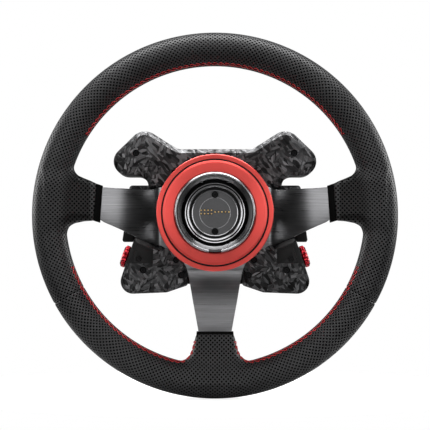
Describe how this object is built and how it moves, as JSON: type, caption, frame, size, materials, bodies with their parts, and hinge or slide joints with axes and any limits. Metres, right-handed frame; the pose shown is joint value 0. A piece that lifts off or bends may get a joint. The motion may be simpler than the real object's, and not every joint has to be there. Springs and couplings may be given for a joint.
{
  "type": "quick release steering wheel",
  "caption": "Round leather sim racing steering wheel with a three-spoke dished frame, ball-lock quick release and forged carbon button housing.",
  "frame": {"origin": "centre of the socket bore at its mouth end, on the wheel axis", "axes": "+Y along the wheel axis from the wheelbase to the driver, +Z to twelve o'clock, +X to the right seen from the wheelbase"},
  "size_m": [0.33, 0.0902, 0.33],
  "materials": {
    "bright_metal": "polished bevels",
    "qr_dark": "satin hard anodised",
    "anodised_red": "satin anodised, finely turned",
    "spring_steel": "plain",
    "ball_steel": "polished",
    "connector_black": "fine matt",
    "gold": "plated",
    "black_steel": "black oxide",
    "circuit_board": "solder mask",
    "brushed_dark": "dark anodised, brushed",
    "ring_metal": "plain",
    "foam": "moulded",
    "leather": "perforated",
    "trim_black": "smooth",
    "red_thread": "twisted thread",
    "forged_carbon": "forged carbon, satin",
    "matte_black": "matt",
    "button_grey": "satin",
    "dial_black": "anodised",
    "lens": "frosted"
  },
  "bodies": {
    "wheel": {"nose_ring": "bright_metal", "qr_body": "qr_dark", "collar_spring": "spring_steel", "centre_spigot": "qr_dark", "connector_disc": "connector_black", "contact_pins": "gold", "disc_screws": "black_steel", "connector_board": "circuit_board", "hub_bolts": "black_steel", "spoke_frame": "brushed_dark", "rim_ring": "ring_metal", "rim_foam": "foam", "leather_upper": "leather", "leather_lower": "leather", "boot_left": "leather", "boot_right": "leather", "boot_bottom": "leather", "boot_trims": "trim_black", "stitching": "red_thread", "rear_housing": "forged_carbon", "front_plate": "forged_carbon", "wing_block_left": "matte_black", "wing_block_right": "matte_black", "insert_left": "matte_black", "insert_right": "matte_black", "housing_screws": "black_steel", "insert_screws": "black_steel", "main_board": "circuit_board", "wiring_loom": "matte_black", "thumb_encoder_left": "ring_metal", "thumb_encoder_right": "ring_metal", "button_bezels": "matte_black", "button_switches": "matte_black", "dial_encoders": "ring_metal", "light_bar": "lens", "centre_cap": "matte_black"},
    "collar": {"release_collar": "anodised_red"},
    "ball_1": {"locking_ball_1": "ball_steel"},
    "ball_2": {"locking_ball_2": "ball_steel"},
    "ball_3": {"locking_ball_3": "ball_steel"},
    "ball_4": {"locking_ball_4": "ball_steel"},
    "ball_5": {"locking_ball_5": "ball_steel"},
    "ball_6": {"locking_ball_6": "ball_steel"},
    "ball_7": {"locking_ball_7": "ball_steel"},
    "ball_8": {"locking_ball_8": "ball_steel"},
    "thumb_left": {"thumb_knob_left": "anodised_red"},
    "thumb_right": {"thumb_knob_right": "anodised_red"},
    "dial_left": {"dial_left": "dial_black"},
    "dial_right": {"dial_right": "dial_black"},
    "key_left_1": {"button_left_1": "button_grey"},
    "key_left_2": {"button_left_2": "button_grey"},
    "key_left_3": {"button_left_3": "button_grey"},
    "key_left_4": {"button_left_4": "button_grey"},
    "key_left_5": {"button_left_5": "button_grey"},
    "key_right_1": {"button_right_1": "button_grey"},
    "key_right_2": {"button_right_2": "button_grey"},
    "key_right_3": {"button_right_3": "button_grey"},
    "key_right_4": {"button_right_4": "button_grey"},
    "key_right_5": {"button_right_5": "button_grey"}
  },
  "joints": [
    {"name": "collar_slide", "type": "slide", "parent": "wheel", "child": "collar", "axis": [0, 1, 0], "range_m": [0, 0.006], "stiffness_N_per_m": 2500, "springref_m": -0.006, "deforming": ["collar_spring"]},
    {"name": "ball_1_slide", "type": "slide", "parent": "wheel", "child": "ball_1", "axis": [0.9239, 0, 0.3827], "range_m": [0, 0.0015]},
    {"name": "ball_2_slide", "type": "slide", "parent": "wheel", "child": "ball_2", "axis": [0.3827, 0, 0.9239], "range_m": [0, 0.0015]},
    {"name": "ball_3_slide", "type": "slide", "parent": "wheel", "child": "ball_3", "axis": [-0.3827, 0, 0.9239], "range_m": [0, 0.0015]},
    {"name": "ball_4_slide", "type": "slide", "parent": "wheel", "child": "ball_4", "axis": [-0.9239, 0, 0.3827], "range_m": [0, 0.0015]},
    {"name": "ball_5_slide", "type": "slide", "parent": "wheel", "child": "ball_5", "axis": [-0.9239, 0, -0.3827], "range_m": [0, 0.0015]},
    {"name": "ball_6_slide", "type": "slide", "parent": "wheel", "child": "ball_6", "axis": [-0.3827, 0, -0.9239], "range_m": [0, 0.0015]},
    {"name": "ball_7_slide", "type": "slide", "parent": "wheel", "child": "ball_7", "axis": [0.3827, 0, -0.9239], "range_m": [0, 0.0015]},
    {"name": "ball_8_slide", "type": "slide", "parent": "wheel", "child": "ball_8", "axis": [0.9239, 0, -0.3827], "range_m": [0, 0.0015]},
    {"name": "thumb_left_turn", "type": "hinge", "parent": "wheel", "child": "thumb_left", "pos_m": [-0.0768, 0.056, -0.0383], "axis": [-0.9478, 0, 0.3189], "continuous": true},
    {"name": "dial_left_turn", "type": "hinge", "parent": "wheel", "child": "dial_left", "pos_m": [-0.048, 0.0832, -0.057], "axis": [0, 1, 0], "continuous": true},
    {"name": "thumb_right_turn", "type": "hinge", "parent": "wheel", "child": "thumb_right", "pos_m": [0.0768, 0.056, -0.0383], "axis": [0.9478, 0, 0.3189], "continuous": true},
    {"name": "dial_right_turn", "type": "hinge", "parent": "wheel", "child": "dial_right", "pos_m": [0.048, 0.0832, -0.057], "axis": [0, 1, 0], "continuous": true},
    {"name": "press_left_1", "type": "slide", "parent": "wheel", "child": "key_left_1", "axis": [0, -1, 0], "range_m": [0, 0.0012], "stiffness_N_per_m": 600, "springref_m": -0.001},
    {"name": "press_left_2", "type": "slide", "parent": "wheel", "child": "key_left_2", "axis": [0, -1, 0], "range_m": [0, 0.0012], "stiffness_N_per_m": 600, "springref_m": -0.001},
    {"name": "press_left_3", "type": "slide", "parent": "wheel", "child": "key_left_3", "axis": [0, -1, 0], "range_m": [0, 0.0012], "stiffness_N_per_m": 600, "springref_m": -0.001},
    {"name": "press_left_4", "type": "slide", "parent": "wheel", "child": "key_left_4", "axis": [0, -1, 0], "range_m": [0, 0.0012], "stiffness_N_per_m": 600, "springref_m": -0.001},
    {"name": "press_left_5", "type": "slide", "parent": "wheel", "child": "key_left_5", "axis": [0, -1, 0], "range_m": [0, 0.0012], "stiffness_N_per_m": 600, "springref_m": -0.001},
    {"name": "press_right_1", "type": "slide", "parent": "wheel", "child": "key_right_1", "axis": [0, -1, 0], "range_m": [0, 0.0012], "stiffness_N_per_m": 600, "springref_m": -0.001},
    {"name": "press_right_2", "type": "slide", "parent": "wheel", "child": "key_right_2", "axis": [0, -1, 0], "range_m": [0, 0.0012], "stiffness_N_per_m": 600, "springref_m": -0.001},
    {"name": "press_right_3", "type": "slide", "parent": "wheel", "child": "key_right_3", "axis": [0, -1, 0], "range_m": [0, 0.0012], "stiffness_N_per_m": 600, "springref_m": -0.001},
    {"name": "press_right_4", "type": "slide", "parent": "wheel", "child": "key_right_4", "axis": [0, -1, 0], "range_m": [0, 0.0012], "stiffness_N_per_m": 600, "springref_m": -0.001},
    {"name": "press_right_5", "type": "slide", "parent": "wheel", "child": "key_right_5", "axis": [0, -1, 0], "range_m": [0, 0.0012], "stiffness_N_per_m": 600, "springref_m": -0.001}
  ],
  "couplings": [
    {"joint": "ball_1_slide", "follows": "collar_slide", "ratio": 0.25},
    {"joint": "ball_2_slide", "follows": "collar_slide", "ratio": 0.25},
    {"joint": "ball_3_slide", "follows": "collar_slide", "ratio": 0.25},
    {"joint": "ball_4_slide", "follows": "collar_slide", "ratio": 0.25},
    {"joint": "ball_5_slide", "follows": "collar_slide", "ratio": 0.25},
    {"joint": "ball_6_slide", "follows": "collar_slide", "ratio": 0.25},
    {"joint": "ball_7_slide", "follows": "collar_slide", "ratio": 0.25},
    {"joint": "ball_8_slide", "follows": "collar_slide", "ratio": 0.25}
  ]
}
